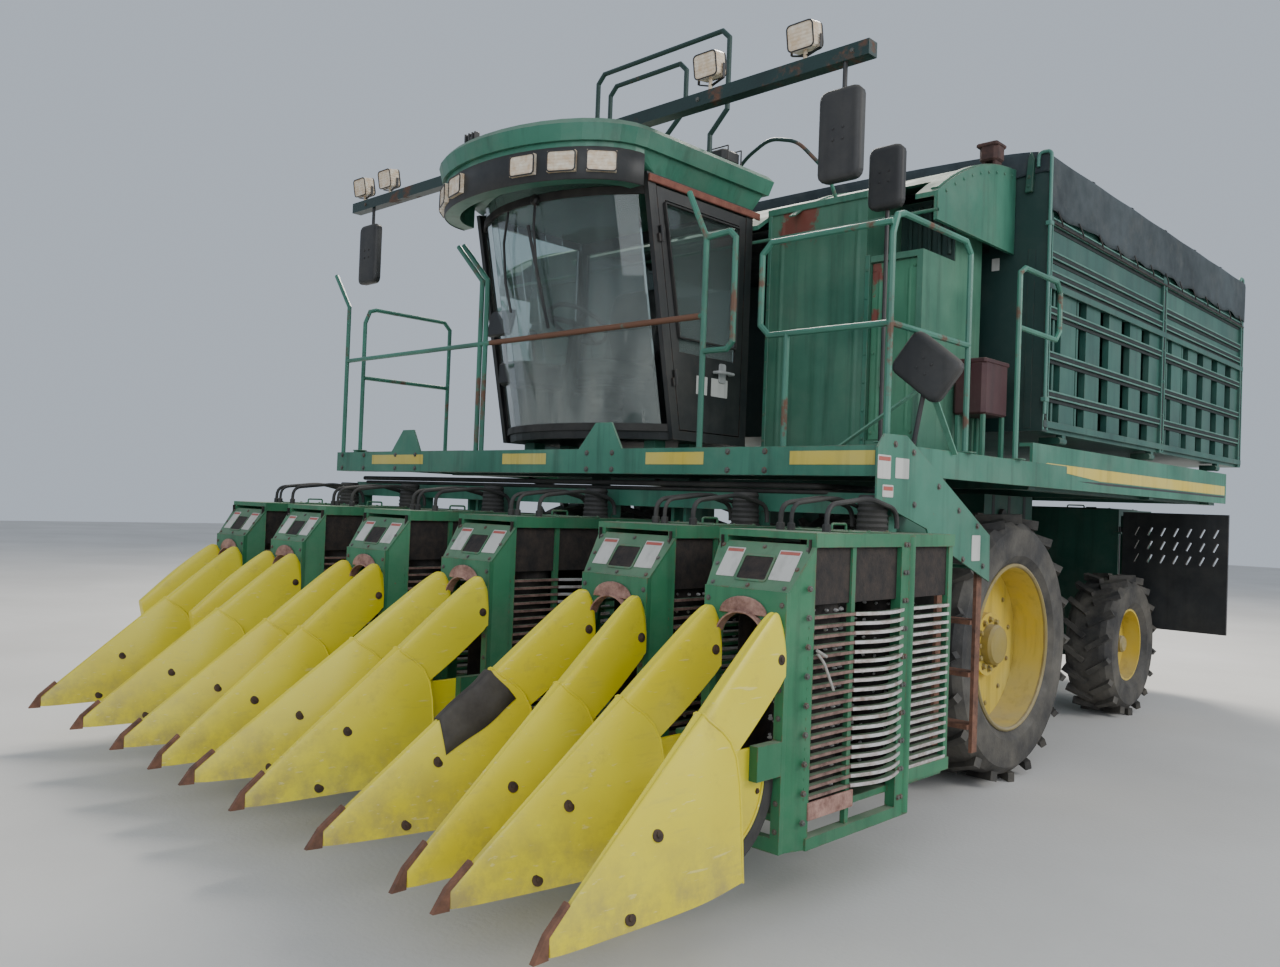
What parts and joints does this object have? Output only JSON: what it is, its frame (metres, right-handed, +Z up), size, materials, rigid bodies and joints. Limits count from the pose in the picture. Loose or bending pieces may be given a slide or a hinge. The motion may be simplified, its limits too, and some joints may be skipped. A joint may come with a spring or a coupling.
{
  "type": "six-row cotton picker",
  "caption": "Self-propelled cotton picker with picking units under a cross beam, crop lifters, a cab over the front, twin drive wheels, steered rear wheels and a tipping basket.",
  "frame": {"origin": "on the floor under the centre of the overall box", "axes": "+Z up, -Y to the machine's front, +X to the machine's left"},
  "size_m": [5.4002, 9.4806, 4.8765],
  "materials": {
    "green_paint": "weathered bluish green paint, scuffed and dusty",
    "dark_green_paint": "weathered dark green paint",
    "yellow_shell": "faded lemon to amber yellow paint",
    "yellow_rim": "yellow wheel paint",
    "rusty_iron": "bare rusty iron",
    "tyre_rubber": "dusty worn rubber",
    "black_paint": "black paint",
    "seat_plastic": "dull black",
    "lamp_glass": "lamp lenses",
    "window_glass": "tinted glass",
    "machine_steel": "worn bare steel",
    "dark_cover": "dark weathered cover"
  },
  "bodies": {
    "chassis": {"main_frame": "green_paint", "front_axle": "dark_green_paint", "rear_axle": "dark_green_paint", "engine_block": "black_paint", "engine_housing": "green_paint", "tanks": "dark_green_paint", "platform": "green_paint", "boarding_steps": "green_paint", "guard_rails": "green_paint", "cab_frame": "black_paint", "cab_roof": "green_paint", "windscreen": "window_glass", "cab_glass": "window_glass", "cab_seat": "seat_plastic", "steering_column": "seat_plastic", "light_bar": "dark_green_paint", "work_lamps": "lamp_glass", "mirrors": "black_paint", "duct_left": "green_paint", "duct_right": "green_paint", "duct_hood": "green_paint", "side_panels": "green_paint"},
    "front_wheels_left": {"front_tyres_left": "tyre_rubber", "front_rims_left": "yellow_rim"},
    "front_wheels_right": {"front_tyres_right": "tyre_rubber", "front_rims_right": "yellow_rim"},
    "knuckle_left": {"knuckle_left": "green_paint"},
    "knuckle_right": {"knuckle_right": "green_paint"},
    "rear_wheel_left": {"rear_tyre_left": "tyre_rubber", "rear_rim_left": "yellow_rim"},
    "rear_wheel_right": {"rear_tyre_right": "tyre_rubber", "rear_rim_right": "yellow_rim"},
    "cab_door": {"cab_door": "black_paint", "door_glass": "window_glass"},
    "folding_steps": {"folding_steps": "rusty_iron"},
    "engine_door": {"engine_door": "black_paint"},
    "basket": {"basket_shell": "green_paint", "basket_cover": "dark_cover"},
    "lift_barrels": {"lift_barrels": "machine_steel"},
    "lift_rods": {"lift_rods": "machine_steel"},
    "lift_arms": {"lift_arms": "green_paint"},
    "header": {"header_beam": "green_paint", "row_unit_1": "green_paint", "row_unit_2": "green_paint", "row_unit_3": "green_paint", "row_unit_4": "green_paint", "row_unit_5": "green_paint", "row_unit_6": "green_paint", "picker_drums": "machine_steel", "stalk_lifters": "yellow_shell", "tip_irons": "rusty_iron"}
  },
  "joints": [
    {"name": "front_wheels_left_spin", "type": "hinge", "parent": "chassis", "child": "front_wheels_left", "pos_m": [0.64, -0.24, 0.88], "axis": [1, 0, 0], "continuous": true},
    {"name": "front_wheels_right_spin", "type": "hinge", "parent": "chassis", "child": "front_wheels_right", "pos_m": [-0.64, -0.24, 0.88], "axis": [1, 0, 0], "continuous": true},
    {"name": "steer_left", "type": "hinge", "parent": "chassis", "child": "knuckle_left", "pos_m": [1.33, 2.91, 0.63], "axis": [0, 0, 1], "range_deg": [-40, 40]},
    {"name": "steer_right", "type": "hinge", "parent": "chassis", "child": "knuckle_right", "pos_m": [-1.33, 2.91, 0.63], "axis": [0, 0, 1], "range_deg": [-40, 40]},
    {"name": "rear_wheel_left_spin", "type": "hinge", "parent": "knuckle_left", "child": "rear_wheel_left", "pos_m": [1.69, 2.91, 0.63], "axis": [1, 0, 0], "continuous": true},
    {"name": "rear_wheel_right_spin", "type": "hinge", "parent": "knuckle_right", "child": "rear_wheel_right", "pos_m": [-1.69, 2.91, 0.63], "axis": [1, 0, 0], "continuous": true},
    {"name": "cab_door_hinge", "type": "hinge", "parent": "chassis", "child": "cab_door", "pos_m": [0.714, -1.9675, 2.15], "axis": [0, -0.1984, 0.9801], "range_deg": [-80, 0]},
    {"name": "folding_steps_hinge", "type": "hinge", "parent": "chassis", "child": "folding_steps", "pos_m": [2.355, -1.42, 1.45], "axis": [1, 0, 0], "range_deg": [0, 70]},
    {"name": "engine_door_hinge", "type": "hinge", "parent": "chassis", "child": "engine_door", "pos_m": [1.465, 3.755, 1.3], "axis": [0, 0, 1], "range_deg": [0, 80]},
    {"name": "basket_hinge", "type": "hinge", "parent": "chassis", "child": "basket", "pos_m": [2.262, 1.96, 2.268], "axis": [0, 1, 0], "range_deg": [0, 48]},
    {"name": "lift_barrels_swing", "type": "hinge", "parent": "chassis", "child": "lift_barrels", "pos_m": [-0.3, 1.785, 1.13], "axis": [0, 1, 0], "range_deg": [-14.88, 0]},
    {"name": "lift_rods_stroke", "type": "slide", "parent": "lift_barrels", "child": "lift_rods", "axis": [0.7677, 0, 0.6408], "range_m": [0, 0.9266]},
    {"name": "lift_arms_swing", "type": "hinge", "parent": "chassis", "child": "lift_arms", "pos_m": [1, -1.68, 1.13], "axis": [1, 0, 0], "range_deg": [0, 24]},
    {"name": "header_level", "type": "hinge", "parent": "lift_arms", "child": "header", "pos_m": [1, -2.22, 1.33], "axis": [1, 0, 0], "range_deg": [-24, 0]}
  ],
  "couplings": [
    {"joint": "steer_right", "follows": "steer_left", "ratio": 1},
    {"joint": "lift_barrels_swing", "follows": "basket_hinge", "ratio": -0.2997},
    {"joint": "lift_rods_stroke", "follows": "basket_hinge", "m_per_rad": 1.0822},
    {"joint": "header_level", "follows": "lift_arms_swing", "ratio": -1}
  ]
}
